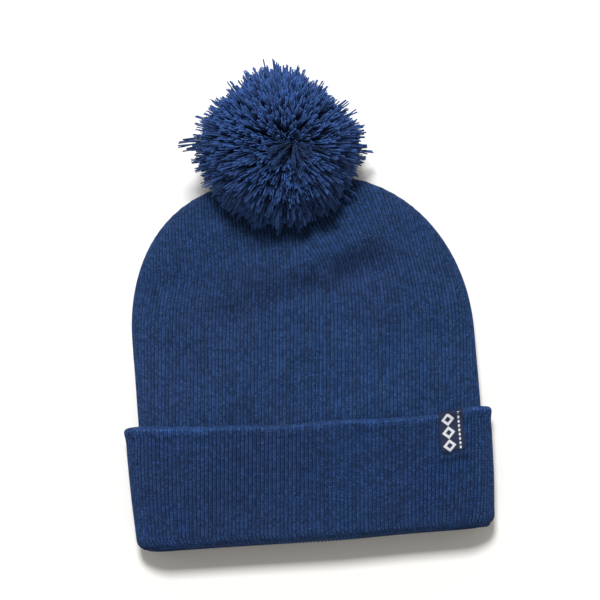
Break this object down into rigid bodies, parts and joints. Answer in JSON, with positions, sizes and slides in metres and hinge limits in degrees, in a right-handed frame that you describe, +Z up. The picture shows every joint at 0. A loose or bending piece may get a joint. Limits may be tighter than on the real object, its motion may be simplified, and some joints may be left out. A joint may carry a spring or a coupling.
{
  "type": "pom pom beanie",
  "caption": "Rib-knit cuffed winter beanie with a lining, a gathered crown, a yarn pom on a tie and a small folded side label on the cuff, lying flat.",
  "frame": {"origin": "middle of the hat's footprint, on the surface it lies on", "axes": "+Y from the head opening to the pom, +Z up through the hat as it lies flat, +X to the side with the label"},
  "size_m": [0.2096, 0.2727, 0.074],
  "materials": {
    "body_knit": "ribbed acrylic knit",
    "cuff_knit": "ribbed acrylic knit",
    "lining_knit": "ribbed acrylic knit",
    "pom_yarn": "cut acrylic yarn",
    "tie_yarn": "twisted yarn",
    "sewing_thread": "polyester thread",
    "label_weave": "woven satin"
  },
  "bodies": {
    "hat": {"crown_gather_stitch": "sewing_thread", "crown_seam_back": "body_knit", "crown_seam_front": "body_knit", "crown_seam_left": "body_knit", "crown_seam_right": "body_knit", "inner_lining_knit": "lining_knit", "lining_gather_stitch": "sewing_thread", "lining_seam_back": "lining_knit", "lining_seam_front": "lining_knit", "lining_seam_left": "lining_knit", "lining_seam_right": "lining_knit", "outer_body_knit": "body_knit", "pom_tie_knot": "tie_yarn"},
    "cuff": {"cuff_face_knit": "cuff_knit", "cuff_backing_knit": "cuff_knit", "hem_fold_knit": "cuff_knit", "side_label": "label_weave", "side_label_stitches": "sewing_thread"},
    "pom_tie": {"pom_tie_loop": "tie_yarn"},
    "pom": {"pom_yarn": "pom_yarn", "pom_binding_loop": "tie_yarn", "pom_tie_neck": "tie_yarn"}
  },
  "joints": [
    {"name": "cuff_turn_down", "type": "slide", "parent": "hat", "child": "cuff", "axis": [0, -1, 0], "range_m": [0, 0.06]},
    {"name": "pom_nod", "type": "hinge", "parent": "hat", "child": "pom_tie", "pos_m": [0, 0.08285, 0.01], "axis": [1, 0, 0], "range_deg": [-75, 0]},
    {"name": "pom_sway", "type": "hinge", "parent": "pom_tie", "child": "pom", "pos_m": [0, 0.08285, 0.01], "axis": [0, -0.9033, 0.4291], "range_deg": [-15, 15]}
  ]
}
